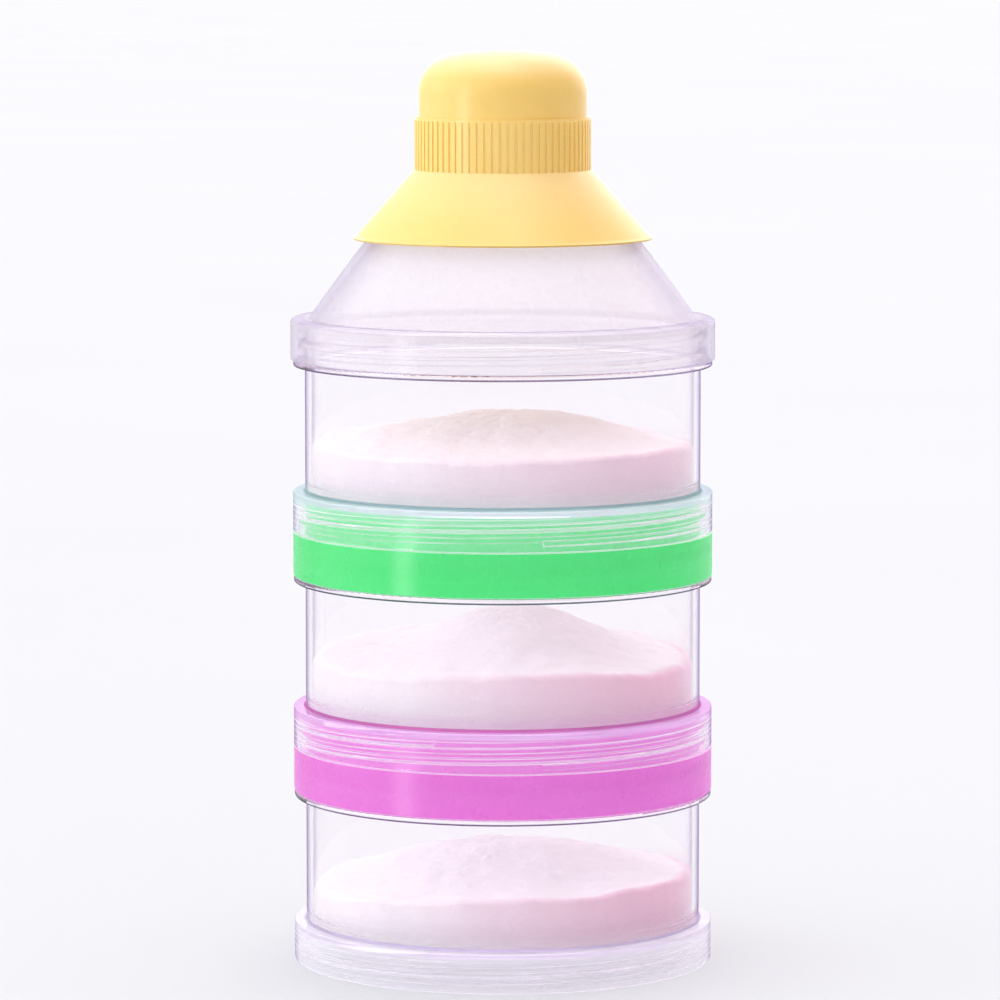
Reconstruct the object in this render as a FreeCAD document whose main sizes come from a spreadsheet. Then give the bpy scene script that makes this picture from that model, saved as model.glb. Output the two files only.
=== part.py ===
import FreeCAD, Part
import math
import os

import Sketcher

# Stacking formula dispenser: three identical cups, two coloured lids that join them, a funnel lid
# and a screw cap. Millimetres, +Z up, the origin at the centre of the base that it stands on.
# Every piece is round about Z, so each one is a section turned about the axis, and a screw thread
# is a ridge swept along a helix.

doc = FreeCAD.newDocument("FormulaDispenser")

# ---------------------------------------------------------------- driving dimensions

DRIVING = {
    # cup, measured from the bottom edge of its collar
    "collar_radius": 38.0,
    "collar_wall": 0.9,
    "collar_rise": 7.2,
    "ledge_thickness": 1.2,
    "floor_thickness": 1.3,
    "floor_corner": 2.0,
    "wall_radius": 35.8,
    "wall_thickness": 1.2,
    "rim_height": 29.95,
    "rim_radius": 37.9,
    "rim_thickness": 1.0,
    # coloured lid, measured from the bottom edge of its skirt
    "skirt_rise": 8.0,
    "shoulder_thickness": 1.5,
    "web_thickness": 1.2,
    "boss_corner": 0.5,
    # soft seals
    "seal_thickness": 0.8,
    "seal_inner_radius": 34.7,
    "seal_outer_radius": 36.0,
    "liner_radius": 13.4,
    "liner_thickness": 1.0,
    # screw threads, all right-hand with one start
    "lead": 3.0,
    "ridge_depth": 1.0,
    "ridge_root": 1.2,
    "ridge_crest": 0.7,
    "ridge_bite": 0.25,
    "ridge_turns": 1.25,
    "neck_thread_rise": 0.8,
    "boss_thread_rise": 1.1,
    "spout_thread_rise": 1.7,
    # how far each piece is turned round from the piece below, and where the first cup faces
    "seat_turn": 240.0,
    "first_turn": 41.0,
    "seat_gap": 0.1,
    # funnel lid, measured from the bottom edge of its ring
    "ring_radius": 38.4,
    "ring_rise": 7.5,
    "ring_corner": 0.9,
    "cone_foot_radius": 35.0,
    "cone_bend_radius": 320.0,
    "cone_break_radius": 24.4,
    "cone_break_height": 21.85,
    "cone_wall_across": 1.5,
    "spout_radius": 13.3,
    "spout_foot_height": 34.15,
    "spout_wall": 1.4,
    "spout_tip_radius": 12.9,
    "spout_tip_height": 40.45,
    "spout_top": 46.65,
    # cap, measured from the lip of its brim
    "lip_radius": 26.9,
    "lip_thickness": 0.3,
    "lip_rise": 0.7,
    "brim_edge_radius": 26.3,
    "brim_wall_across": 1.4,
    "brim_rise": 12.5,
    "band_radius": 15.6,
    "band_rise": 9.5,
    "rib_depth": 0.3,
    "rib_width": 0.8,
    "rib_head_bend": 0.5,
    "rib_headroom": 0.6,
    "rib_count": 72,
    "cap_bore_radius": 14.6,
    "cap_bore_headroom": 0.6,
    "dome_radius": 15.1,
    "dome_wall": 1.3,
    "dome_height": 33.8,
    "dome_edge_height": 32.4,
    "dome_corner": 7.2,
    "crown_bend_radius": 80.0,
    "land_outer_radius": 12.2,
    "land_inner_radius": 10.8,
    "land_height": 26.2,
    "land_crown_height": 30.7,
    "land_root_height": 29.6,
    "dome_bevel_height": 27.2,
    # formula powder, heaped on each floor
    "powder_gap": 0.1,
    "powder_edge_top": 9.0,
    "powder_peak_top": 15.0,
    "powder_edge_middle": 11.0,
    "powder_peak_middle": 18.0,
    "powder_edge_bottom": 9.5,
    "powder_peak_bottom": 15.0,
    # small roundings
    "edge_round": 0.3,
    "ledge_round": 0.3,
}


def make_sheet():
    """Puts the driving dimensions in the document's sheet, one named cell each."""
    sheet = doc.addObject("Spreadsheet::Sheet", "Sizes")
    for row, (alias, number) in enumerate(DRIVING.items(), start=1):
        sheet.set(f"A{row}", alias)
        sheet.set(f"B{row}", str(number))
        sheet.setAlias(f"B{row}", alias)
    doc.recompute()
    return sheet


class Size:
    """A dimension that knows both its number and the sheet expression that gives it."""

    def __init__(self, number, text):
        self.number = number
        self.text = text

    def combined(self, other, sign, operate):
        if not isinstance(other, Size):
            other = Size(other, str(other))
        return Size(operate(self.number, other.number), f"({self.text} {sign} {other.text})")

    def __add__(self, other):
        return self.combined(other, "+", lambda a, b: a + b)

    def __sub__(self, other):
        return self.combined(other, "-", lambda a, b: a - b)

    def __mul__(self, other):
        return self.combined(other, "*", lambda a, b: a * b)

    def __truediv__(self, other):
        return self.combined(other, "/", lambda a, b: a / b)


sheet = make_sheet()


def size(alias):
    """The driving dimension of that name, read from the sheet."""
    return Size(float(sheet.get(alias)), f"Sizes.{alias}")


ZERO = Size(0.0, "0")

# ---------------------------------------------------------------- worked-out dimensions

seat_gap = size("seat_gap")
lead = size("lead")
ridge_depth = size("ridge_depth")

collar_radius = size("collar_radius")
collar_bore = collar_radius - size("collar_wall")
collar_rise = size("collar_rise")
recess_depth = collar_rise - size("ledge_thickness")
floor_top = recess_depth + size("floor_thickness")
wall_radius = size("wall_radius")
cup_bore = wall_radius - size("wall_thickness")
rim_height = size("rim_height")
rim_top = rim_height + size("rim_thickness")

skirt_rise = size("skirt_rise")
shoulder_underside = skirt_rise - size("shoulder_thickness")
boss_top = skirt_rise + recess_depth
seal_foot = shoulder_underside - seat_gap - size("seal_thickness")
neck_top = rim_top + seat_gap + seal_foot - seat_gap
tier_pitch = rim_top + seat_gap + skirt_rise + seat_gap

# A ridge runs midway between the turns of the ridge that it meets. The upper piece is turned by
# seat_turn, so its ridge starts higher by this much than the one below.
mating_step = lead * (size("seat_turn") / 360 - 0.5)
neck_thread_start = rim_top + size("neck_thread_rise")
skirt_thread_start = size("neck_thread_rise") - seat_gap + mating_step
boss_thread_start = skirt_rise + size("boss_thread_rise")
collar_thread_start = size("boss_thread_rise") - seat_gap + mating_step
spout_thread_start = size("spout_foot_height") + size("spout_thread_rise")

# Heights of the pieces in the closed stack
lid_seat = rim_top + seat_gap
funnel_seat = tier_pitch * 2 + lid_seat
liner_seat = funnel_seat + size("spout_top") + seat_gap
cap_seat = liner_seat + size("liner_thickness") + seat_gap - size("land_height")
cap_thread_start = funnel_seat + spout_thread_start - cap_seat + mating_step

# ---------------------------------------------------------------- building blocks


def make_body(label):
    body = doc.addObject("PartDesign::Body", label)
    body.Label = label
    return body


def origin_plane(body, role):
    """The body's own origin plane or axis with that role."""
    return next(item for item in body.Origin.OriginFeatures if item.Role == role)


def attach(sketch, body, role):
    sketch.AttachmentSupport = (origin_plane(body, role), [""])
    sketch.MapMode = "FlatFace"


def pin_point(sketch, geometry, end, across, up):
    """Fixes a sketch point at two sizes from the origin, or on an axis where a size is zero."""
    for kind, axis, distance in (("DistanceX", -2, across), ("DistanceY", -1, up)):
        if distance.number == 0:
            sketch.addConstraint(Sketcher.Constraint("PointOnObject", geometry, end, axis))
            continue
        index = sketch.addConstraint(
            Sketcher.Constraint(kind, -1, 1, geometry, end, distance.number))
        name = f"{kind}_{index}"
        sketch.renameConstraint(index, name)
        sketch.setExpression(f"Constraints.{name}", distance.text)


def arc_between(start, end, radius):
    """The short arc that bulges away from the origin, and whether it runs from start to end."""
    chord = end - start
    middle = (start + end) * 0.5
    sideways = FreeCAD.Vector(-chord.y, chord.x, 0)
    sideways.normalize()
    if sideways.dot(middle) > 0:
        sideways = sideways * -1
    centre = middle + sideways * math.sqrt(radius ** 2 - (chord.Length / 2) ** 2)
    forwards = (start - centre).cross(end - centre).z > 0
    first, last = (start, end) if forwards else (end, start)
    circle = Part.Circle(centre, FreeCAD.Vector(0, 0, 1), radius)
    first_angle = math.atan2(first.y - centre.y, first.x - centre.x)
    last_angle = math.atan2(last.y - centre.y, last.x - centre.x)
    return Part.ArcOfCircle(circle, first_angle, last_angle), forwards


def add_outline(sketch, corners):
    """A closed outline through corners of (across, up) or (across, up, radius of the bend after it)."""
    points = [FreeCAD.Vector(corner[0].number, corner[1].number, 0) for corner in corners]
    ends = []
    for index, corner in enumerate(corners):
        start = points[index]
        finish = points[(index + 1) % len(corners)]
        if len(corner) == 3:
            arc, forwards = arc_between(start, finish, corner[2].number)
            geometry = sketch.addGeometry(arc, False)
            bend = sketch.addConstraint(Sketcher.Constraint("Radius", geometry, corner[2].number))
            sketch.renameConstraint(bend, f"Bend_{bend}")
            sketch.setExpression(f"Constraints.Bend_{bend}", corner[2].text)
            ends.append((geometry, 1, 2) if forwards else (geometry, 2, 1))
        else:
            geometry = sketch.addGeometry(Part.LineSegment(start, finish), False)
            ends.append((geometry, 1, 2))
    for index, (geometry, start_end, finish_end) in enumerate(ends):
        next_geometry, next_start, _ = ends[(index + 1) % len(ends)]
        sketch.addConstraint(
            Sketcher.Constraint("Coincident", geometry, finish_end, next_geometry, next_start))
        pin_point(sketch, geometry, start_end, corners[index][0], corners[index][1])


def turned_section(body, name, corners):
    """A solid of revolution about Z from corners of (radius, height)."""
    sketch = body.newObject("Sketcher::SketchObject", f"{name}Section")
    attach(sketch, body, "XZ_Plane")
    add_outline(sketch, corners)
    solid = body.newObject("PartDesign::Revolution", name)
    solid.Profile = sketch
    solid.ReferenceAxis = (sketch, ["V_Axis"])
    solid.Angle = 360
    doc.recompute()
    return solid


def ring_edges(feature, rings):
    """Names of the round edges at the given (radius, height) places."""
    names = []
    for index, edge in enumerate(feature.Shape.Edges, start=1):
        if edge.Degenerated or not isinstance(edge.Curve, Part.Circle):
            continue
        for radius, height in rings:
            right_radius = abs(edge.Curve.Radius - radius.number) < 1e-4
            right_height = abs(edge.Curve.Center.z - height.number) < 1e-4
            if right_radius and right_height:
                names.append(f"Edge{index}")
    if len(names) != len(rings):
        raise RuntimeError(f"{feature.Label}: found {len(names)} of {len(rings)} edges")
    return names


def round_edges(body, name, radius, rings):
    """Rounds the edges at the given (radius, height) places of the body's solid so far."""
    base = body.Tip
    fillet = body.newObject("PartDesign::Fillet", name)
    fillet.Base = (base, ring_edges(base, rings))
    fillet.setExpression("Radius", radius.text)
    doc.recompute()


def add_thread(body, name, root, crest, start):
    """A ridge from the root radius to the crest radius, rising once round for each lead.

    The ridge's middle starts at the height start, and both of its ends are blunt.
    """
    bite = size("ridge_bite")
    buried = root - bite if crest.number > root.number else root + bite
    half_root = size("ridge_root") / 2
    half_crest = size("ridge_crest") / 2
    corners = [
        (buried, start - half_root),
        (root, start - half_root),
        (crest, start - half_crest),
        (crest, start + half_crest),
        (root, start + half_root),
        (buried, start + half_root),
    ]
    sketch = body.newObject("Sketcher::SketchObject", f"{name}Section")
    attach(sketch, body, "XZ_Plane")
    add_outline(sketch, corners)
    before = body.Tip.Shape.Volume
    ridge = body.newObject("PartDesign::AdditiveHelix", name)
    ridge.Profile = sketch
    ridge.ReferenceAxis = (sketch, ["V_Axis"])
    ridge.Mode = "pitch-turns-angle"
    ridge.setExpression("Pitch", lead.text)
    ridge.setExpression("Turns", size("ridge_turns").text)
    doc.recompute()
    if ridge.Shape.Volume <= before:
        raise RuntimeError(f"{body.Label}: {name} added nothing")


def place(body, height, seats_below):
    """Stands a finished piece at its height, turned by one seat_turn for each seat below it."""
    turn = size("first_turn") + size("seat_turn") * seats_below
    body.Placement = FreeCAD.Placement(
        FreeCAD.Vector(0, 0, height.number),
        FreeCAD.Rotation(FreeCAD.Vector(0, 0, 1), turn.number % 360))
    body.setExpression("Placement.Base.z", height.text)
    body.setExpression("Placement.Rotation.Angle", f"mod({turn.text}; 360)")


# ---------------------------------------------------------------- pieces


def make_container(label, tier):
    """A clear cup: threaded neck, rim, wall and floor, with an open threaded collar below."""
    body = make_body(label)
    turned_section(body, f"{label}Cup", [
        (ZERO, recess_depth),
        (collar_bore, recess_depth),
        (collar_bore, ZERO),
        (collar_radius, ZERO),
        (collar_radius, collar_rise),
        (wall_radius, collar_rise),
        (wall_radius, rim_height),
        (size("rim_radius"), rim_height),
        (size("rim_radius"), rim_top),
        (wall_radius, rim_top),
        (wall_radius, neck_top),
        (cup_bore, neck_top),
        (cup_bore, floor_top),
        (ZERO, floor_top),
    ])
    round_edges(body, f"{label}FloorCorner", size("floor_corner"), [(cup_bore, floor_top)])
    round_edges(body, f"{label}Ledge", size("ledge_round"), [
        (collar_radius, collar_rise),
        (wall_radius, collar_rise),
    ])
    round_edges(body, f"{label}Edges", size("edge_round"), [
        (collar_radius, ZERO),
        (size("rim_radius"), rim_height),
        (size("rim_radius"), rim_top),
        (wall_radius, neck_top),
        (cup_bore, neck_top),
    ])
    add_thread(body, f"{label}NeckThread", wall_radius, wall_radius + ridge_depth, neck_thread_start)
    add_thread(body, f"{label}CollarThread", collar_bore, collar_bore - ridge_depth,
               collar_thread_start)
    place(body, tier_pitch * tier, 2 * tier)
    return body


def make_lid(label, tier):
    """A coloured lid: a threaded skirt over the cup below and a threaded boss for the cup above."""
    body = make_body(label)
    web_underside = boss_top - size("web_thickness")
    turned_section(body, f"{label}Shell", [
        (ZERO, web_underside),
        (cup_bore, web_underside),
        (cup_bore, shoulder_underside),
        (collar_bore, shoulder_underside),
        (collar_bore, ZERO),
        (collar_radius, ZERO),
        (collar_radius, skirt_rise),
        (wall_radius, skirt_rise),
        (wall_radius, boss_top),
        (ZERO, boss_top),
    ])
    round_edges(body, f"{label}BossCorner", size("boss_corner"), [
        (wall_radius, boss_top),
        (cup_bore, web_underside),
    ])
    round_edges(body, f"{label}Edges", size("edge_round"), [
        (collar_radius, ZERO),
        (collar_radius, skirt_rise),
    ])
    add_thread(body, f"{label}SkirtThread", collar_bore, collar_bore - ridge_depth,
               skirt_thread_start)
    add_thread(body, f"{label}BossThread", wall_radius, wall_radius + ridge_depth, boss_thread_start)
    place(body, tier_pitch * tier + lid_seat, 2 * tier + 1)
    return body


def make_seal_ring(label, lid_height):
    """The soft flat ring between a cup's neck and the shoulder of the lid above it."""
    body = make_body(label)
    turned_section(body, f"{label}Ring", [
        (size("seal_inner_radius"), ZERO),
        (size("seal_outer_radius"), ZERO),
        (size("seal_outer_radius"), size("seal_thickness")),
        (size("seal_inner_radius"), size("seal_thickness")),
    ])
    place(body, lid_height + seal_foot, 0)
    return body


def make_funnel_lid():
    """The milky funnel: a threaded ring over the top cup, a bowed cone and a threaded spout."""
    body = make_body("funnel_lid")
    break_radius = size("cone_break_radius")
    break_height = size("cone_break_height")
    spout_radius = size("spout_radius")
    spout_bore = spout_radius - size("spout_wall")
    bend = size("cone_bend_radius")
    turned_section(body, "FunnelShell", [
        (spout_bore, size("spout_top")),
        (spout_bore, size("spout_foot_height")),
        (break_radius - size("cone_wall_across"), break_height, bend),
        (cup_bore, shoulder_underside),
        (collar_bore, shoulder_underside),
        (collar_bore, ZERO),
        (size("ring_radius"), ZERO),
        (size("ring_radius"), size("ring_rise")),
        (size("cone_foot_radius"), size("ring_rise"), bend),
        (break_radius, break_height),
        (spout_radius, size("spout_foot_height")),
        (spout_radius, size("spout_tip_height")),
        (size("spout_tip_radius"), size("spout_tip_height")),
        (size("spout_tip_radius"), size("spout_top")),
    ])
    round_edges(body, "FunnelRingCorner", size("ring_corner"), [
        (size("ring_radius"), size("ring_rise")),
    ])
    round_edges(body, "FunnelEdges", size("edge_round"), [
        (size("ring_radius"), ZERO),
        (size("spout_tip_radius"), size("spout_top")),
    ])
    add_thread(body, "FunnelRingThread", collar_bore, collar_bore - ridge_depth, skirt_thread_start)
    add_thread(body, "FunnelSpoutThread", spout_radius, spout_radius + ridge_depth,
               spout_thread_start)
    place(body, funnel_seat, 5)
    return body


def make_cap_liner():
    """The soft disc between the mouth of the spout and the land inside the cap."""
    body = make_body("cap_liner")
    turned_section(body, "LinerDisc", [
        (ZERO, ZERO),
        (size("liner_radius"), ZERO),
        (size("liner_radius"), size("liner_thickness")),
        (ZERO, size("liner_thickness")),
    ])
    place(body, liner_seat, 0)
    return body


def add_grip_ribs(body):
    """Upright ribs with bowed heads, evenly spaced round the cap's band."""
    half_width = size("rib_width") / 2
    foot = size("brim_rise")
    head = foot + size("band_rise") - size("rib_headroom")
    sketch = body.newObject("Sketcher::SketchObject", "RibOutline")
    attach(sketch, body, "YZ_Plane")
    add_outline(sketch, [
        (ZERO - half_width, foot),
        (half_width, foot),
        (half_width, head, size("rib_head_bend")),
        (ZERO - half_width, head),
    ])
    rib_foot_radius = size("band_radius") - size("rib_depth")
    sketch.AttachmentOffset = FreeCAD.Placement(
        FreeCAD.Vector(0, 0, rib_foot_radius.number), FreeCAD.Rotation())
    sketch.setExpression("AttachmentOffset.Base.z", rib_foot_radius.text)

    before = body.Tip.Shape.Volume
    rib = body.newObject("PartDesign::Pad", "Rib")
    rib.Profile = sketch
    rib.setExpression("Length", (size("rib_depth") * 2).text)
    doc.recompute()
    if rib.Shape.Volume <= before:
        raise RuntimeError("the rib adds nothing to the band")
    ribs = body.newObject("PartDesign::PolarPattern", "Ribs")
    ribs.Originals = [rib]
    ribs.Axis = (origin_plane(body, "Z_Axis"), [""])
    ribs.Angle = 360
    ribs.setExpression("Occurrences", size("rib_count").text)
    body.Tip = ribs
    doc.recompute()


def make_cap():
    """The yellow screw cap: a domed top, a ribbed band and a thin brim that covers the funnel."""
    body = make_body("cap")
    brim_rise = size("brim_rise")
    band_top = brim_rise + size("band_rise")
    rib_radius = size("band_radius") + size("rib_depth")
    bore = size("cap_bore_radius")
    bore_top = band_top - size("cap_bore_headroom")
    dome_bore = size("dome_radius") - size("dome_wall")
    crown_underside = size("dome_height") - size("dome_wall")
    crown_bend = size("crown_bend_radius")
    turned_section(body, "CapShell", [
        (ZERO, crown_underside),
        (size("land_inner_radius"), size("land_crown_height")),
        (size("land_inner_radius"), size("land_height")),
        (size("land_outer_radius"), size("land_height")),
        (size("land_outer_radius"), size("land_root_height")),
        (dome_bore, size("dome_bevel_height")),
        (dome_bore, band_top),
        (bore, bore_top),
        (bore, brim_rise - size("lip_thickness")),
        (size("brim_edge_radius") - size("brim_wall_across") / 2, ZERO),
        (size("lip_radius"), ZERO),
        (size("lip_radius"), size("lip_thickness")),
        (size("brim_edge_radius"), size("lip_rise")),
        (rib_radius, brim_rise),
        (size("band_radius"), brim_rise),
        (size("band_radius"), band_top),
        (size("dome_radius"), band_top),
        (size("dome_radius"), size("dome_edge_height"), crown_bend),
        (ZERO, size("dome_height")),
    ])
    round_edges(body, "CapDomeCorner", size("dome_corner"), [
        (size("dome_radius"), size("dome_edge_height")),
    ])
    add_grip_ribs(body)
    add_thread(body, "CapThread", bore, bore - ridge_depth, cap_thread_start)
    place(body, cap_seat, 6)
    return body


def make_powder(label, tier, edge_height, peak_height):
    """Formula powder lying on a cup's floor, heaped a little towards the middle."""
    body = make_body(label)
    gap = size("powder_gap")
    radius = cup_bore - gap
    corner = size("floor_corner")
    rise = peak_height.number - edge_height.number
    heap_bend = (radius * radius + (peak_height - edge_height) * (peak_height - edge_height)) / (
        (peak_height - edge_height) * 2)
    if rise <= 0:
        raise RuntimeError(f"{label}: the heap must be highest in the middle")
    turned_section(body, f"{label}Heap", [
        (ZERO, ZERO),
        (radius - corner, ZERO),
        (radius, corner),
        (radius, edge_height, heap_bend),
        (ZERO, peak_height),
    ])
    place(body, tier_pitch * tier + floor_top + gap, 0)
    return body


def build_pieces():
    """All the pieces, from the base upwards."""
    pieces = []
    tiers = ["bottom", "middle", "top"]
    for tier, name in enumerate(tiers):
        pieces.append(make_container(f"{name}_container", tier))
        pieces.append(make_powder(f"powder_{name}", tier, size(f"powder_edge_{name}"),
                                  size(f"powder_peak_{name}")))
    for tier, colour in enumerate(["pink", "green"]):
        pieces.append(make_lid(f"{colour}_lid", tier))
        pieces.append(make_seal_ring(f"{colour}_seal_ring", tier_pitch * tier + lid_seat))
    pieces.append(make_seal_ring("funnel_seal_ring", funnel_seat))
    pieces.append(make_funnel_lid())
    pieces.append(make_cap_liner())
    pieces.append(make_cap())
    return pieces


def check_document():
    """Stops if anything in the document failed to recompute."""
    doc.recompute()
    for item in doc.Objects:
        if "Invalid" in item.State or "Error" in item.State:
            raise RuntimeError(f"{item.Label} failed: {item.State}")


def export(pieces):
    """Writes one STEP file for each piece, once every one of them is a sound solid."""
    for piece in pieces:
        shape = piece.Shape
        if shape.isNull() or not shape.isValid() or len(shape.Solids) != 1:
            raise RuntimeError(f"{piece.Label} is not one valid solid")
    os.makedirs("parts", exist_ok=True)
    for piece in pieces:
        piece.Shape.exportStep(f"parts/{piece.Label}.step")
        box = piece.Shape.BoundBox
        print(f"{piece.Label}: {piece.Shape.Volume / 1000:.2f} cm3, "
              f"radius {box.XMax:.2f}, z {box.ZMin:.2f} to {box.ZMax:.2f}")


pieces = build_pieces()
check_document()
export(pieces)
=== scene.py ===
"""Looks of a formula dispenser: three clear cups of milk powder, a green and a pink screw lid
between them, a milky funnel on top and a ribbed yellow cap over its spout.

Everything is in metres in the CAD frame, with +Z up and the front towards -Y.
"""

import math
from collections import namedtuple

import bpy
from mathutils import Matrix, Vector, noise


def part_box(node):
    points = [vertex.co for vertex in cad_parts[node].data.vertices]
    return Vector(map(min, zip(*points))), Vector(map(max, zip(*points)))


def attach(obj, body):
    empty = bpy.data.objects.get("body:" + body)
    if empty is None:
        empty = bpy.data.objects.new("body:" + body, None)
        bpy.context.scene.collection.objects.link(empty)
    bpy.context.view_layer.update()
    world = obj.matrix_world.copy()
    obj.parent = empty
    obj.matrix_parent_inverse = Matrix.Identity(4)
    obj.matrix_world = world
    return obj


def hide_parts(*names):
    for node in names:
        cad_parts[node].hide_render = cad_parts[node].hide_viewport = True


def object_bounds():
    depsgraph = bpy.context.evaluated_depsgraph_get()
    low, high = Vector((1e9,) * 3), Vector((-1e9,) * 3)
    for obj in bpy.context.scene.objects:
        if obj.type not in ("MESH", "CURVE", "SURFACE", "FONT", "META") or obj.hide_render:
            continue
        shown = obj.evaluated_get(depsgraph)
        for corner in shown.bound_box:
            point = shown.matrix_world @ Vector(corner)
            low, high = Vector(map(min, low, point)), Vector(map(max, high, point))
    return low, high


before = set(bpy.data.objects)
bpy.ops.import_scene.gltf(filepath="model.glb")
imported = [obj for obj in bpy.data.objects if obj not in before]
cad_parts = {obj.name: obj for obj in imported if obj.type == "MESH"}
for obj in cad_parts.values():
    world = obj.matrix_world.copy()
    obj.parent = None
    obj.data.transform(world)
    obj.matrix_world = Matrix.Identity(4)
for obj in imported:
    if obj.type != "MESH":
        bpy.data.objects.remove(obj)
cad_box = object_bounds()
scene = bpy.context.scene

MM = 0.001

# Sizes of the CAD model: the cup's wall with the gap that the powder keeps from it, the powder's foot above
# the collar's ledge, the cup's rim with its gap to the lid, the thread's climb in a turn, the cap's grip band
WALL_AND_GAP = 1.3 * MM
FLOOR_ABOVE_LEDGE = 0.2 * MM
RIM_AND_GAP = 1.1 * MM
THREAD_LEAD = 3 * MM
BAND_FOOT = 12.5 * MM
BAND_HEIGHT = 9 * MM
BAND_RADIUS = 15.6 * MM

# Places that the finishes need. Heights on a cup are measured from the foot of its tier.
TIER_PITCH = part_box("middle_container")[0].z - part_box("bottom_container")[0].z
POWDER_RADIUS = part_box("powder_bottom")[1].x
WALL_RADIUS = POWDER_RADIUS + WALL_AND_GAP
COLLAR_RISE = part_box("powder_bottom")[0].z - FLOOR_ABOVE_LEDGE
RIM_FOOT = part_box("pink_lid")[0].z - RIM_AND_GAP
CAP_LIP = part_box("cap")[0].z

# ---------------------------------------------------------------- material helpers


def linear(red, green, blue):
    """A colour as paint charts give it, from 0 to 255, as the linear colour that Blender mixes."""
    def channel(value):
        share = value / 255
        return share / 12.92 if share <= 0.04045 else ((share + 0.055) / 1.055) ** 2.4
    return (channel(red), channel(green), channel(blue), 1.0)


class Finish:
    """One material, with short calls that add nodes to it and join them up."""

    def __init__(self, name):
        self.material = bpy.data.materials.new(name)
        self.material.use_nodes = True
        self.tree = self.material.node_tree
        self.tree.nodes.clear()
        self.output = self.tree.nodes.new("ShaderNodeOutputMaterial")
        self.place = self.node("ShaderNodeTexCoord").outputs["Object"]

    def node(self, kind, inputs=None, **settings):
        """A new node. inputs holds plain values, or the sockets that feed it."""
        made = self.tree.nodes.new(kind)
        for name, value in settings.items():
            setattr(made, name, value)
        for name, value in (inputs or {}).items():
            if isinstance(value, bpy.types.NodeSocket):
                self.tree.links.new(value, made.inputs[name])
            else:
                made.inputs[name].default_value = value
        return made

    def noise(self, grain, detail=2.0, stretch=(1, 1, 1), offset=0.0):
        """Cloudy noise from 0 to 1, its blobs about `grain` metres across, longer along a small stretch."""
        shift = (offset, offset, offset)
        moved = self.node("ShaderNodeMapping", {"Vector": self.place, "Scale": stretch, "Location": shift})
        inputs = {"Vector": moved.outputs[0], "Scale": 1 / grain, "Detail": detail}
        return self.node("ShaderNodeTexNoise", inputs).outputs[0]

    def stretch(self, value, low, high, to_low=0.0, to_high=1.0):
        """value from low..high, taken to to_low..to_high and held there."""
        made = self.node("ShaderNodeMapRange", {0: value, 1: low, 2: high, 3: to_low, 4: to_high})
        return made.outputs[0]

    def maths(self, operation, first, second=0.0):
        """One of Blender's plain sums on two numbers."""
        return self.node("ShaderNodeMath", {0: first, 1: second}, operation=operation).outputs[0]

    def plus(self, first, second):
        """The two numbers added up."""
        return self.maths("ADD", first, second)

    def times(self, first, second):
        """The two numbers multiplied."""
        return self.maths("MULTIPLY", first, second)

    def mixed(self, share, first, second):
        """A colour that goes from first to second as share goes from 0 to 1."""
        made = self.node("ShaderNodeMix", {0: share, 6: first, 7: second}, data_type="RGBA")
        return made.outputs[2]

    def blended(self, share, first, second):
        """A shader that goes from first to second as share goes from 0 to 1."""
        return self.node("ShaderNodeMixShader", {0: share, 1: first, 2: second}).outputs[0]

    def bump(self, height, depth, strength=1.0, under=None):
        """A normal for a surface whose height goes from 0 to `depth` metres."""
        inputs = {"Height": height, "Distance": depth, "Strength": strength}
        if under is not None:
            inputs["Normal"] = under
        return self.node("ShaderNodeBump", inputs).outputs[0]

    def facing(self, blend):
        """0 where the surface is seen head on, 1 at its outline."""
        return self.node("ShaderNodeLayerWeight", {"Blend": blend}).outputs["Facing"]

    def from_axis(self):
        """How far the surface stands from the axis that all the pieces share."""
        flat = self.node("ShaderNodeVectorMath", {0: self.place, 1: (1, 1, 0)}, operation="MULTIPLY")
        length = self.node("ShaderNodeVectorMath", {0: flat.outputs[0]}, operation="LENGTH")
        return length.outputs["Value"]

    def part(self, vector, way):
        """One of a vector's three parts."""
        return self.node("ShaderNodeSeparateXYZ", {0: vector}).outputs[way]

    def upward(self):
        """1 on faces that look straight up, 0 on upright ones and -1 on faces that look down."""
        return self.part(self.node("ShaderNodeNewGeometry").outputs["Normal"], "Z")

    def level(self):
        """1 on faces that lie flat, whether they look up or down, and 0 on upright ones."""
        return self.stretch(self.maths("ABSOLUTE", self.upward()), 0.5, 0.8)

    def level_edges(self):
        """1 on level faces that stand out past the cups' wall, such as ledges and thread flanks."""
        past_wall = self.stretch(self.from_axis(), WALL_RADIUS + 0.1 * MM, WALL_RADIUS + 0.2 * MM)
        return self.times(self.level(), past_wall)

    def helix_lines(self, height, lines_a_turn):
        """1 along fine lines that climb round the axis like the screw thread, and 0 between them."""
        angle = self.maths("ARCTAN2", self.part(self.place, "Y"), self.part(self.place, "X"))
        turn = self.maths("DIVIDE", angle, 2 * math.pi)
        climb = self.maths("SUBTRACT", self.maths("DIVIDE", height, THREAD_LEAD), turn)
        phase = self.maths("FLOORED_MODULO", self.times(climb, lines_a_turn), 1.0)
        return self.band(phase, 0.44, 0.56, 0.10)

    def round_the_axis(self):
        """The direction that runs round the axis, for gloss that is drawn out upwards and downwards."""
        return self.node("ShaderNodeTangent", direction_type="RADIAL", axis="Z").outputs[0]

    def band(self, value, low, high, soft):
        """1 where value is between low and high, fading out over `soft` on both sides."""
        rising = self.stretch(value, low - soft, low)
        falling = self.stretch(value, high, high + soft, 1.0, 0.0)
        return self.times(rising, falling)

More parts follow.
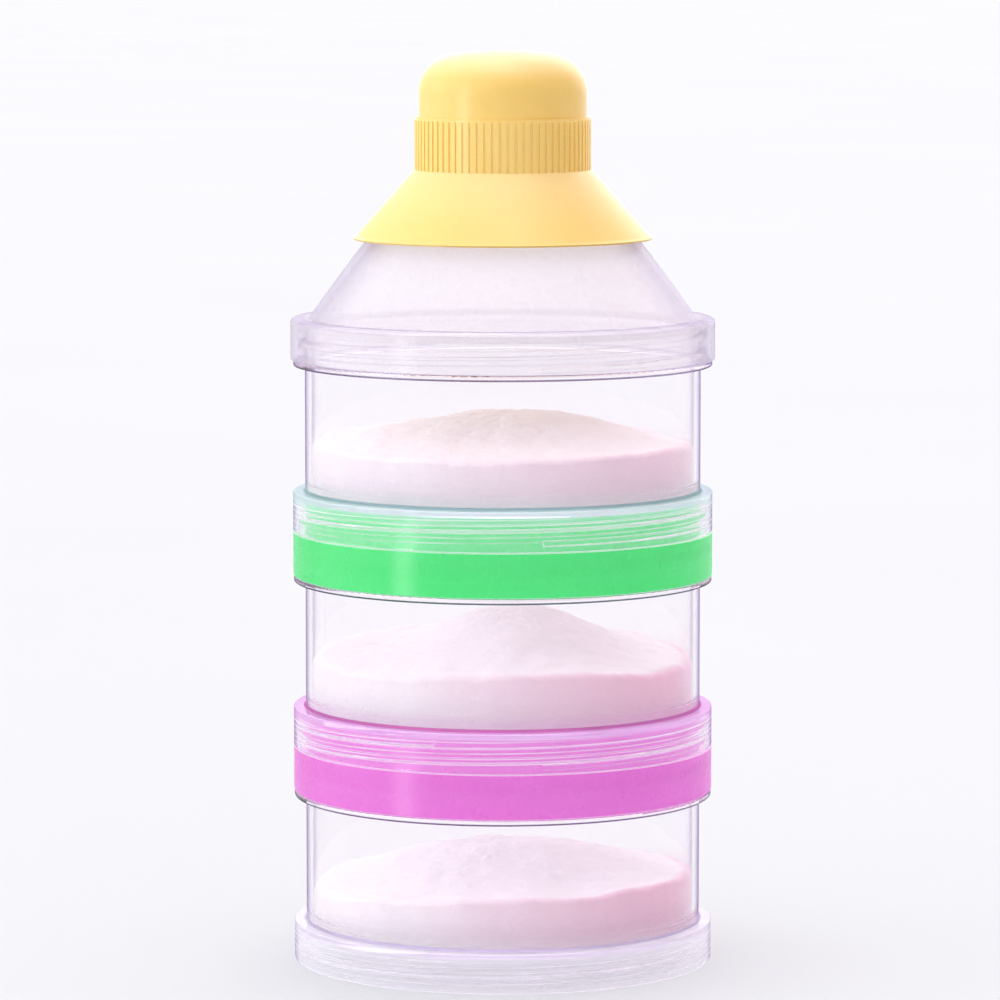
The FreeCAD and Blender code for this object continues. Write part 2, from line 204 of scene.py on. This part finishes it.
    def scratches(self):
        """0 on clean plastic, 1 along fine scuffs from handling, in two directions."""
        level = self.noise(0.9 * MM, 1.0, stretch=(0.06, 0.06, 1.6), offset=3.1)
        slanting = self.noise(0.8 * MM, 1.0, stretch=(1.3, 0.9, 0.05), offset=7.7)
        finest = self.maths("MAXIMUM", level, slanting)
        patches = self.stretch(self.noise(14 * MM, 2.0, offset=1.7), 0.5, 0.66)
        return self.times(self.stretch(finest, 0.70, 0.76), patches)

    def outside(self):
        """1 on faces met from the air, 0 on faces met from inside the plastic."""
        inside = self.node("ShaderNodeNewGeometry").outputs["Backfacing"]
        return self.maths("SUBTRACT", 1.0, inside)

    def finish(self, shader):
        """Joins the shader to the output and gives the material."""
        self.tree.links.new(shader, self.output.inputs["Surface"])
        return self.material


def lit_through(finish, shader, colour, share):
    """The shader, which lets that share of the rays that look for light through to what stands behind."""
    path = finish.node("ShaderNodeLightPath")
    looking = finish.maths("MAXIMUM", path.outputs["Is Shadow Ray"], path.outputs["Is Diffuse Ray"])
    passing = finish.node("ShaderNodeBsdfTransparent", {"Color": colour}).outputs[0]
    return finish.blended(finish.times(looking, share), shader, passing)


def moulded_surface(finish, orange_peel, depth):
    """The normal of a moulded face: faint orange peel, slow waves in the wall, and scuffs."""
    peel = finish.bump(finish.noise(orange_peel, 2.0), depth)
    waves = finish.bump(finish.noise(16 * MM, 0.0, offset=5.0), 2 * depth, under=peel)
    return finish.bump(finish.scratches(), -0.3 * depth, under=waves)


# ---------------------------------------------------------------- materials

PLASTIC_IOR = 1.49

# Blender counts the turn of a stretched gloss in whole turns.
QUARTER_TURN = 0.25

# How one cup's collar looks: its hazy colour, which on the upper cups also carries a painted glow of the
# lid's colour behind the collar, the painted shade line at the wall's foot, the share of cloud low down and
# high up in the collar, and the share of its painted highlight lines.
Collar = namedtuple("Collar", "haze foot_line low high lines")

# Where the parts of a cup are, as shares from 0 to 1, with the height above the foot of its tier.
CupParts = namedtuple("CupParts", "height outside on_wall beyond_wall near_collar collar edges thread")


def cup_parts(f):
    """Tells a cup's wall from its collar, and finds where painted highlight lines go: the collar's level
    edges and fine lines along its thread.
    """
    height = f.maths("MODULO", f.part(f.place, "Z"), TIER_PITCH)
    beyond_wall = f.stretch(f.from_axis(), WALL_RADIUS + 0.3 * MM, WALL_RADIUS + 0.6 * MM)
    near_collar = f.stretch(height, COLLAR_RISE + 3 * MM, COLLAR_RISE + 6 * MM, 1.0, 0.0)
    collar = f.times(beyond_wall, near_collar)
    below_ledge = f.stretch(height, COLLAR_RISE - 0.9 * MM, COLLAR_RISE - 0.6 * MM, 1.0, 0.0)
    threaded = f.band(height, 1.2 * MM, COLLAR_RISE - 1.5 * MM, 0.3 * MM)
    return CupParts(
        height=height,
        outside=f.outside(),
        on_wall=f.maths("SUBTRACT", 1.0, beyond_wall),
        beyond_wall=beyond_wall,
        near_collar=near_collar,
        collar=collar,
        # Painted highlights: pale lines on the collar's level edges and along its thread.
        edges=f.times(f.level_edges(), below_ledge),
        thread=f.times(f.helix_lines(height, 3), f.times(collar, threaded)),
    )


def clear_tint(f, parts, along_wall, look):
    """The clear plastic's tint: lilac at outlines, with a painted shade line at the wall's foot and another
    under the rim.
    """
    tint = f.mixed(along_wall, linear(255, 254, 255), linear(249, 245, 252))
    outline = f.times(f.stretch(f.facing(0.5), 0.79, 0.92), parts.outside)
    tint = f.mixed(outline, tint, linear(164, 146, 188))
    # Painted shade: a dark line in the corner at the wall's foot, in the lid's colour on the upper cups.
    foot_line = f.band(parts.height, COLLAR_RISE - 0.1 * MM, COLLAR_RISE + 0.4 * MM, 0.15 * MM)
    foot_line = f.times(foot_line, parts.on_wall)
    tint = f.mixed(f.times(foot_line, parts.outside), tint, look.foot_line)
    # Painted shade: a dark line just under the rim, where the lid above sits.
    rim_shade_line = f.band(parts.height, RIM_FOOT - 0.1 * MM, RIM_FOOT + 0.3 * MM, 0.1 * MM)
    rim_shade_line = f.times(rim_shade_line, parts.beyond_wall)
    return f.mixed(f.times(rim_shade_line, parts.outside), tint, linear(136, 124, 154))


def clear_glass(f, parts, along_wall, look):
    """The clear plastic without its haze, a little rough where it is scuffed."""
    scuffs = f.times(f.scratches(), parts.outside)
    uneven = f.stretch(f.noise(9 * MM, 3.0, offset=2.0), 0.3, 0.75, 0.01, 0.035)
    inputs = {
        "Color": clear_tint(f, parts, along_wall, look),
        "Roughness": f.plus(f.times(uneven, parts.outside), f.times(scuffs, 0.12)),
        "IOR": 1.45,
        "Normal": f.bump(f.noise(3 * MM, 2.0), 0.0008 * MM, parts.outside),
    }
    return f.node("ShaderNodeBsdfGlass", inputs).outputs[0]


def clear_haze(f, parts, look):
    """What clouds the plastic: the collar's hazy colour, which on the upper cups carries a painted glow of
    the lid's colour, and painted highlight lines on its edges and thread.
    """
    # Painted glow: the collar and the wall just above it take a tone that, on the upper cups, is the colour
    # of the lid behind.
    low_down = f.maths("MAXIMUM", parts.collar, f.times(parts.near_collar, parts.on_wall))
    colour = f.mixed(low_down, linear(246, 243, 252), look.haze)
    # Painted highlights: level edges and thread lines turn near white.
    colour = f.mixed(f.maths("MAXIMUM", parts.edges, parts.thread), colour, linear(252, 251, 255))
    cloud = f.node("ShaderNodeBsdfDiffuse", {"Color": colour})
    glow = f.node("ShaderNodeBsdfTranslucent", {"Color": colour})
    return f.blended(0.5, cloud.outputs[0], glow.outputs[0])


def haze_share(f, parts, along_wall, look):
    """How much of the plastic is clouded: a trace on the wall, more in the collar, a painted glow at the
    wall's foot, and most along its painted highlight lines.
    """
    share = f.stretch(f.noise(6 * MM, 4.0, offset=9.0), 0.35, 0.75, 0.01, 0.03)
    share = f.plus(share, f.times(along_wall, 0.06))
    streaks = f.stretch(f.noise(5 * MM, 2.0, stretch=(0.5, 0.5, 5.0), offset=8.0), 0.3, 0.7, 0.8, 1.2)
    slab = f.stretch(parts.height, COLLAR_RISE - 3.0 * MM, COLLAR_RISE - 0.8 * MM, look.low, look.high)
    share = f.plus(share, f.times(f.times(parts.collar, slab), streaks))
    patches = f.noise(9 * MM, 2.0, stretch=(0.6, 0.6, 2.5), offset=6.5)
    # Painted highlights: more cloud along the thread lines.
    share = f.plus(share, f.times(parts.thread, f.stretch(patches, 0.35, 0.65, 0.05, 0.45)))
    # Painted glow: the share of cloud rises at the wall's foot, where it takes the lid's tone.
    foot_glow = f.stretch(parts.height, COLLAR_RISE, COLLAR_RISE + 3 * MM, 0.35, 0.0)
    share = f.plus(share, f.times(foot_glow, parts.on_wall))
    share = f.times(share, parts.outside)
    # Painted highlights: the level edges take their given share of cloud.
    return f.maths("MINIMUM", f.plus(share, f.times(parts.edges, look.lines)), 1.0)


def clear_plastic(name, look):
    """Water-clear plastic with lilac outlines and a hazier collar."""
    f = Finish(name)
    parts = cup_parts(f)
    along_wall = f.stretch(f.facing(0.5), 0.62, 1.0)
    glass = clear_glass(f, parts, along_wall, look)
    body = f.blended(haze_share(f, parts, along_wall, look), glass, clear_haze(f, parts, look))
    return f.finish(lit_through(f, body, linear(254, 254, 255), 1.0))


# How one lid's plastic looks: its colours, the colour it gives what is seen through it, the share of it that
# is seen through, and the share of the rest that glows. Its line colour is painted on level edges: a painted
# highlight on the green and pink lids, and a darker lilac line on the milky funnel.
Tint = namedtuple("Tint", "pale main deep line behind see_through glow")


def tinted_plastic(name, tint):
    """Coloured plastic that glows with the light inside it, less clear where the eye looks along its wall,
    with its line colour on level edges, a painted highlight on the green and pink lids.
    """
    f = Finish(name)
    cloud = f.stretch(f.noise(14 * MM, 1.0, stretch=(0.6, 0.6, 4.0)), 0.3, 0.7)
    fleck = f.stretch(f.noise(0.7 * MM, 2.0, offset=4.0), 0.35, 0.65)
    colour = f.mixed(f.times(cloud, 0.15), tint.main, tint.pale)
    colour = f.mixed(f.times(fleck, 0.06), colour, tint.deep)
    # Painted highlight: level edges, such as the skirt's top fillet, take the line colour.
    colour = f.mixed(f.times(f.level_edges(), 0.75), colour, tint.line)
    uneven = f.stretch(f.noise(5 * MM, 3.0, offset=2.0), 0.3, 0.7, 0.25, 0.31)
    solid = f.node(
        "ShaderNodeBsdfPrincipled",
        {
            "Base Color": colour,
            "Roughness": f.plus(uneven, f.times(f.scratches(), 0.15)),
            "IOR": PLASTIC_IOR,
            "Specular IOR Level": 1.0,
            "Anisotropic": 0.8,
            "Anisotropic Rotation": QUARTER_TURN,
            "Tangent": f.round_the_axis(),
            "Normal": moulded_surface(f, 0.8 * MM, 0.001 * MM),
        },
    )
    glow = f.node("ShaderNodeBsdfTranslucent", {"Color": colour})
    body = f.blended(tint.glow, solid.outputs[0], glow.outputs[0])
    along_wall = f.stretch(f.facing(0.5), 0.50, 0.95, 0.0, 0.65)
    behind = f.mixed(along_wall, tint.behind, tint.deep)
    through = f.node("ShaderNodeBsdfTransparent", {"Color": behind})
    seen = f.blended(tint.see_through, body, through.outputs[0])
    return f.finish(lit_through(f, seen, linear(252, 252, 252), 1.0))


def cap_colour(f, scuffs):
    """The cap's yellow: painted light makes it paler on faces that look up and between the grip ribs, and
    painted shade makes it darker along its bottom edge.
    """
    cloud = f.stretch(f.noise(14 * MM, 3.0), 0.3, 0.7)
    fleck = f.stretch(f.noise(0.6 * MM, 2.0, offset=4.0), 0.35, 0.65)
    colour = f.mixed(cloud, linear(245, 207, 106), linear(247, 214, 118))
    colour = f.mixed(f.times(fleck, 0.08), colour, linear(230, 176, 80))
    from_axis = f.from_axis()
    above_lip = f.maths("SUBTRACT", f.part(f.place, "Z"), CAP_LIP)
    # Painted light: paler between the grip ribs, filling their shade.
    lit_gap = f.stretch(from_axis, BAND_RADIUS + 0.05 * MM, BAND_RADIUS + 0.2 * MM, 1.0, 0.0)
    lit_gap = f.times(lit_gap, f.band(above_lip, BAND_FOOT, BAND_FOOT + BAND_HEIGHT, 0.3 * MM))
    colour = f.mixed(f.times(lit_gap, 0.7), colour, linear(252, 226, 150))
    # Painted light: faces that look up are paler, palest near the axis.
    on_cone = f.stretch(from_axis, 17 * MM, 24 * MM)
    lit_top_colour = f.mixed(on_cone, linear(249, 230, 172), linear(240, 211, 120))
    colour = f.mixed(f.stretch(f.upward(), 0.40, 0.90, 0.0, 0.75), colour, lit_top_colour)
    # Painted shade: a dark line along the cap's bottom edge.
    lip_shade = f.stretch(above_lip, 0.15 * MM, 0.35 * MM, 1.0, 0.0)
    colour = f.mixed(f.times(lip_shade, 0.7), colour, linear(178, 142, 62))
    return f.mixed(f.times(scuffs, 0.25), colour, linear(252, 226, 165))


def cap_plastic():
    """Yellow satin plastic, opaque, with light that spreads a little under its skin."""
    f = Finish("cap_plastic")
    scuffs = f.scratches()
    uneven = f.stretch(f.noise(4 * MM, 3.0, offset=2.0), 0.3, 0.7, 0.38, 0.46)
    solid = f.node(
        "ShaderNodeBsdfPrincipled",
        {
            "Base Color": cap_colour(f, scuffs),
            "Roughness": f.plus(uneven, f.times(scuffs, 0.15)),
            "IOR": PLASTIC_IOR,
            "Specular IOR Level": 0.9,
            "Anisotropic": 0.6,
            "Anisotropic Rotation": QUARTER_TURN,
            "Tangent": f.round_the_axis(),
            "Subsurface Weight": 0.25,
            "Subsurface Radius": (1.0, 0.5, 0.2),
            "Subsurface Scale": 2.0 * MM,
            "Normal": moulded_surface(f, 0.7 * MM, 0.003 * MM),
        },
    )
    return f.finish(solid.outputs[0])


def silicone():
    """The soft rings and the liner: frosted, half clear and slightly grained."""
    f = Finish("silicone")
    cloud = f.stretch(f.noise(5 * MM, 3.0), 0.3, 0.7)
    colour = f.mixed(cloud, linear(236, 234, 240), linear(246, 245, 249))
    normal = f.bump(f.noise(0.4 * MM, 3.0), 0.01 * MM)
    solid = f.node(
        "ShaderNodeBsdfPrincipled",
        {"Base Color": colour, "Roughness": f.stretch(cloud, 0.0, 1.0, 0.45, 0.6), "Normal": normal},
    )
    glow = f.node("ShaderNodeBsdfTranslucent", {"Color": colour})
    through = f.node("ShaderNodeBsdfTransparent", {"Color": colour})
    body = f.blended(0.5, solid.outputs[0], glow.outputs[0])
    return f.finish(f.blended(0.45, body, through.outputs[0]))


def milk_powder(name, pink):
    """Fine dry powder: warm white with grains and crumbs, paler on faces that look up by painted light, and
    with painted pink light at the wall on its right, as strong as given.
    """
    f = Finish(name)
    cloud = f.stretch(f.noise(7 * MM, 4.0), 0.3, 0.7)
    crumbs = f.noise(0.9 * MM, 4.0, offset=6.0)
    grains = f.noise(0.28 * MM, 2.0, offset=2.0)
    colour = f.mixed(cloud, linear(233, 223, 229), linear(239, 230, 235))
    colour = f.mixed(f.stretch(crumbs, 0.55, 0.8, 0.0, 0.35), colour, linear(226, 206, 212))
    colour = f.mixed(f.stretch(grains, 0.55, 0.75, 0.0, 0.25), colour, linear(232, 214, 218))
    # Painted light: faces that look up are paler.
    colour = f.mixed(f.stretch(f.upward(), 0.5, 0.95, 0.0, 0.9), colour, linear(249, 243, 248))
    # Painted pink light: pinker towards the right, near the wall.
    rightward = f.stretch(f.part(f.place, "X"), -0.5 * POWDER_RADIUS, 0.9 * POWDER_RADIUS)
    outward = f.stretch(f.from_axis(), 0.93 * POWDER_RADIUS, 0.99 * POWDER_RADIUS)
    pink_light = f.times(f.times(rightward, outward), pink)
    colour = f.mixed(pink_light, colour, linear(238, 186, 210))
    normal = f.bump(grains, 0.10 * MM, 0.6, under=f.bump(crumbs, 0.25 * MM, 0.7))
    solid = f.node(
        "ShaderNodeBsdfPrincipled",
        {
            "Base Color": colour,
            "Roughness": f.stretch(grains, 0.3, 0.7, 0.85, 1.0),
            "Specular IOR Level": 0.2,
            "Sheen Weight": 0.1,
            "Normal": normal,
        },
    )
    return f.finish(lit_through(f, solid.outputs[0], linear(253, 251, 252), 0.85))


def floor_paper():
    """The studio's pale paper floor."""
    f = Finish("floor_paper")
    cloud = f.stretch(f.noise(0.3, 3.0), 0.3, 0.7)
    colour = f.mixed(cloud, linear(205, 211, 212), linear(207, 213, 214))
    normal = f.bump(f.noise(0.5 * MM, 2.0), 0.02 * MM)
    inputs = {"Base Color": colour, "Roughness": 0.9, "Normal": normal}
    return f.finish(f.node("ShaderNodeBsdfPrincipled", inputs).outputs[0])


GREEN = Tint(
    pale=linear(112, 246, 160),
    main=linear(74, 236, 126),
    deep=linear(38, 176, 92),
    line=linear(225, 250, 236),
    behind=linear(150, 250, 190),
    see_through=0.12,
    glow=0.40,
)
PINK = Tint(
    pale=linear(240, 156, 236),
    main=linear(235, 118, 218),
    deep=linear(196, 70, 160),
    line=linear(252, 224, 250),
    behind=linear(246, 180, 242),
    see_through=0.12,
    glow=0.40,
)
MILKY = Tint(
    pale=linear(251, 250, 252),
    main=linear(247, 246, 250),
    deep=linear(186, 174, 206),
    line=linear(222, 212, 234),
    behind=linear(254, 252, 254),
    see_through=0.62,
    glow=0.50,
)

# Each collar: its hazy colour, with a painted glow of the lid's colour on the upper cups, its painted shade
# line at the wall's foot, then the shares.
COLLARS = {
    "top_container": Collar(linear(206, 244, 232), linear(112, 150, 160), 0.16, 0.58, 0.50),
    "middle_container": Collar(linear(238, 172, 238), linear(188, 60, 140), 0.18, 0.56, 0.50),
    "bottom_container": Collar(linear(248, 247, 255), linear(196, 186, 216), 0.30, 0.50, 0.60),
}

FINISHES = {
    "green": tinted_plastic("green_plastic", GREEN),
    "pink": tinted_plastic("pink_plastic", PINK),
    "milky": tinted_plastic("milky_plastic", MILKY),
    "yellow": cap_plastic(),
    "silicone": silicone(),
    "powder": milk_powder("milk_powder", 0.0),
}


def dress_cad_nodes():
    """Gives each CAD node the finish of its own slot, and each cup its own clear plastic."""
    for name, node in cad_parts.items():
        for holder in node.material_slots:
            if name in COLLARS:
                holder.material = clear_plastic(name + "_plastic", COLLARS[name])
            else:
                holder.material = FINISHES[holder.material.name]


# ---------------------------------------------------------------- powder heaps

# One heap of powder. Heights are in millimetres above the cup's floor: at the wall on each side, how much
# lower it lies towards the front's left and right, and at the crest. crest_across is how far the crest is to
# the right of the axis, the spreads are shares of the radius, and pink is how strong the painted pink light
# on its right side is.
Heap = namedtuple(
    "Heap",
    "body left right front back dip_left dip_right crest crest_across spread_left spread_right seed pink",
)

HEAPS = {
    "powder_top": Heap(
        body="top_powder",
        left=9.5,
        right=8.2,
        front=8.0,
        back=9.6,
        dip_left=0.8,
        dip_right=-0.5,
        crest=13.9,
        crest_across=4.0,
        spread_left=0.80,
        spread_right=0.58,
        seed=11,
        pink=0.50,
    ),
    "powder_middle": Heap(
        body="middle_powder",
        left=10.2,
        right=9.2,
        front=9.5,
        back=10.6,
        dip_left=2.0,
        dip_right=1.5,
        crest=17.5,
        crest_across=2.0,
        spread_left=0.46,
        spread_right=0.52,
        seed=23,
        pink=1.0,
    ),
    "powder_bottom": Heap(
        body="bottom_tier",
        left=6.6,
        right=8.7,
        front=8.7,
        back=6.4,
        dip_left=0.9,
        dip_right=-0.7,
        crest=13.5,
        crest_across=0.5,
        spread_left=0.72,
        spread_right=0.80,
        seed=37,
        pink=0.95,
    ),
}

# What all the heaps share: how far round from the front the dips lie, the crest's spread from front to back
# and how sharply it falls, where the powder starts to round off at the wall and by how many millimetres, how
# many millimetres its grains may stand above the crest, and how fine the mesh is.
DIP_TURN = math.radians(60)
DEPTH_SPREAD = 0.75
CREST_POWER = 1.3
SHOULDER_FOOT = 0.965
SHOULDER_DROP = 0.7
ABOVE_CREST = 0.3
RINGS = 72
SPOKES = 240


def wall_line(heap, u, v):
    """How high the powder lies against the wall in the direction (u, v), in millimetres."""
    share = v * v / max(u * u + v * v, 1e-9)
    side = (heap.left + heap.right) / 2 + u * (heap.right - heap.left) / 2
    depth = (heap.front + heap.back) / 2 + v * (heap.back - heap.front) / 2
    line = side * (1 - share) + depth * share
    for dip, way in ((heap.dip_left, -1), (heap.dip_right, 1)):
        towards_dip = way * u * math.sin(DIP_TURN) - v * math.cos(DIP_TURN)
        line -= dip * max(towards_dip, 0.0) ** 4
    return line


def heap_height(heap, across, back, radius):
    """The powder's height above the floor at one place, in metres."""
    u, v = across / radius, back / radius
    reach = min(math.hypot(u, v), 1.0)
    middle = (heap.left + heap.right) / 2
    level = middle + (wall_line(heap, u, v) - middle) * reach ** 2
    off_crest = u - heap.crest_across * MM / radius
    spread = heap.spread_left if off_crest < 0 else heap.spread_right
    from_crest = (off_crest / spread) ** 2 + (v / DEPTH_SPREAD) ** 2
    rise = (heap.crest - middle) * math.exp(-from_crest ** CREST_POWER) * (1 - reach ** 6)
    spot = Vector((across, back, heap.seed * 0.1))
    lumps = noise.noise(spot * 110) * 0.50 + noise.noise(spot * 330) * 0.26
    grain = noise.noise(spot * 900) * 0.16
    shoulder = SHOULDER_DROP * max((reach - SHOULDER_FOOT) / (1 - SHOULDER_FOOT), 0.0) ** 2
    return min(level + rise + lumps + grain - shoulder, heap.crest + ABOVE_CREST) * MM


def make_heap(name, heap):
    """A closed heap of powder that covers its cup's floor, lies against the wall and rises to a crest."""
    low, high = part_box(name)
    radius, floor = high.x, low.z
    corners = [(0.0, 0.0, floor + heap_height(heap, 0.0, 0.0, radius))]
    for ring in range(1, RINGS + 1):
        reach = radius * ring / RINGS
        for spoke in range(SPOKES):
            angle = 2 * math.pi * spoke / SPOKES
            across, back = reach * math.cos(angle), reach * math.sin(angle)
            corners.append((across, back, floor + heap_height(heap, across, back, radius)))
    rim = len(corners) - SPOKES
    for across, back, _ in corners[rim:]:
        corners.append((across, back, floor))
    corners.append((0.0, 0.0, floor))
    centre_below = len(corners) - 1
    faces = []
    for spoke in range(SPOKES):
        after = (spoke + 1) % SPOKES
        faces.append((0, 1 + spoke, 1 + after))
        for ring in range(RINGS):
            here, there = 1 + ring * SPOKES, 1 + (ring + 1) * SPOKES
            faces.append((here + spoke, there + spoke, there + after, here + after))
        base = rim + SPOKES
        faces.append((centre_below, base + after, base + spoke))
    mesh = bpy.data.meshes.new(name + "_heap")
    mesh.from_pydata(corners, [], faces)
    mesh.update()
    mesh.polygons.foreach_set("use_smooth", [True] * len(mesh.polygons))
    mesh.materials.append(milk_powder(name + "_grains", heap.pink))
    piece = bpy.data.objects.new(name + "_heap", mesh)
    scene.collection.objects.link(piece)
    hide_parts(name)
    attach(piece, heap.body)


# ---------------------------------------------------------------- studio


def make_floor():
    """A wide pale floor under the object."""
    reach = 60.0
    mesh = bpy.data.meshes.new("floor")
    corners = [(-reach, -reach, 0), (reach, -reach, 0), (reach, reach, 0), (-reach, reach, 0)]
    mesh.from_pydata(corners, [], [(0, 1, 2, 3)])
    mesh.materials.append(floor_paper())
    floor = bpy.data.objects.new("floor", mesh)
    floor.location.z = cad_box[0].z - 0.1 * MM
    scene.collection.objects.link(floor)


def make_sky():
    """Studio light from all round: brightest overhead, cool on the left, dimmer and pinker on the right."""
    world = bpy.data.worlds.new("studio")
    world.use_nodes = True
    tree = world.node_tree
    tree.nodes.clear()
    place = tree.nodes.new("ShaderNodeTexCoord")
    split = tree.nodes.new("ShaderNodeSeparateXYZ")
    tree.links.new(place.outputs["Generated"], split.inputs[0])

    def shaded(source, way, low, high, first, second):
        """The source colour times one that goes from first to second as the direction turns along `way`."""
        share = tree.nodes.new("ShaderNodeMapRange")
        share.inputs[1].default_value = low
        share.inputs[2].default_value = high
        tree.links.new(split.outputs[way], share.inputs[0])
        colour = tree.nodes.new("ShaderNodeMix")
        colour.data_type = "RGBA"
        colour.inputs[6].default_value = (*first, 1)
        colour.inputs[7].default_value = (*second, 1)
        tree.links.new(share.outputs[0], colour.inputs[0])
        if source is None:
            return colour.outputs[2]
        product = tree.nodes.new("ShaderNodeVectorMath")
        product.operation = "MULTIPLY"
        tree.links.new(source, product.inputs[0])
        tree.links.new(colour.outputs[2], product.inputs[1])
        return product.outputs[0]

    sky = shaded(None, "X", -0.9, 0.9, (1.08, 1.09, 1.12), (0.91, 0.77, 0.79))
    sky = shaded(sky, "X", 0.6, 1.0, (1.0, 1.0, 1.0), (0.75, 0.68, 0.72))
    sky = shaded(sky, "Y", -0.8, 0.5, (0.70, 0.70, 0.73), (1.0, 1.0, 1.0))
    sky = shaded(sky, "Z", 0.35, 0.95, (1.0, 1.0, 1.0), (1.5, 1.5, 1.5))
    sky = shaded(sky, "Z", 0.90, 0.99, (1.0, 1.0, 1.0), (2.6, 2.6, 2.5))
    light = tree.nodes.new("ShaderNodeBackground")
    tree.links.new(sky, light.inputs["Color"])
    output = tree.nodes.new("ShaderNodeOutputWorld")
    tree.links.new(light.outputs[0], output.inputs["Surface"])
    scene.world = world


def aim(thing, target):
    """Turns a lamp or camera to look at a point."""
    thing.rotation_euler = (Vector(target) - thing.location).to_track_quat("-Z", "Y").to_euler()


def make_lamp(name, place, spread, power, colour):
    """A far, soft lamp. Place is the way that its light comes from, and spread is its width in degrees."""
    data = bpy.data.lights.new(name, "SUN")
    data.angle = math.radians(spread)
    data.energy = power
    data.color = colour
    lamp = bpy.data.objects.new(name, data)
    lamp.location = place
    scene.collection.objects.link(lamp)
    aim(lamp, (0, 0, 0))


def make_camera():
    """A long lens a metre away, a little above the cap, looking down at the middle of the object."""
    distance = 0.98
    above_top = 24 * MM
    seen_width = 181.4 * MM
    target = Vector((-0.5 * MM, 0.0, cad_box[0].z + 83.6 * MM))
    data = bpy.data.cameras.new("camera")
    camera = bpy.data.objects.new("camera", data)
    camera.location = (target.x, -distance, cad_box[1].z + above_top)
    data.lens = data.sensor_width * (camera.location - target).length / seen_width
    scene.collection.objects.link(camera)
    aim(camera, target)
    scene.camera = camera


def set_picture():
    """Plain colours, and enough bounces for walls seen through walls."""
    bounces = 40
    scene.view_settings.view_transform = "Standard"
    scene.view_settings.exposure = 0.0
    scene.cycles.max_bounces = bounces
    scene.cycles.glossy_bounces = bounces
    scene.cycles.transmission_bounces = bounces
    scene.cycles.transparent_max_bounces = bounces


dress_cad_nodes()
for heap_name, heap_shape in HEAPS.items():
    make_heap(heap_name, heap_shape)

make_floor()
make_sky()
make_lamp("key", (-0.825, -0.565, 0.05), 12, 0.72, (0.97, 0.99, 1.0))
make_lamp("left", (-0.96, 0.12, 0.05), 48, 0.85, (1.0, 0.99, 1.0))
make_lamp("back", (0.25, 0.90, 0.36), 60, 0.9, (1.0, 1.0, 1.0))
make_camera()
set_picture()
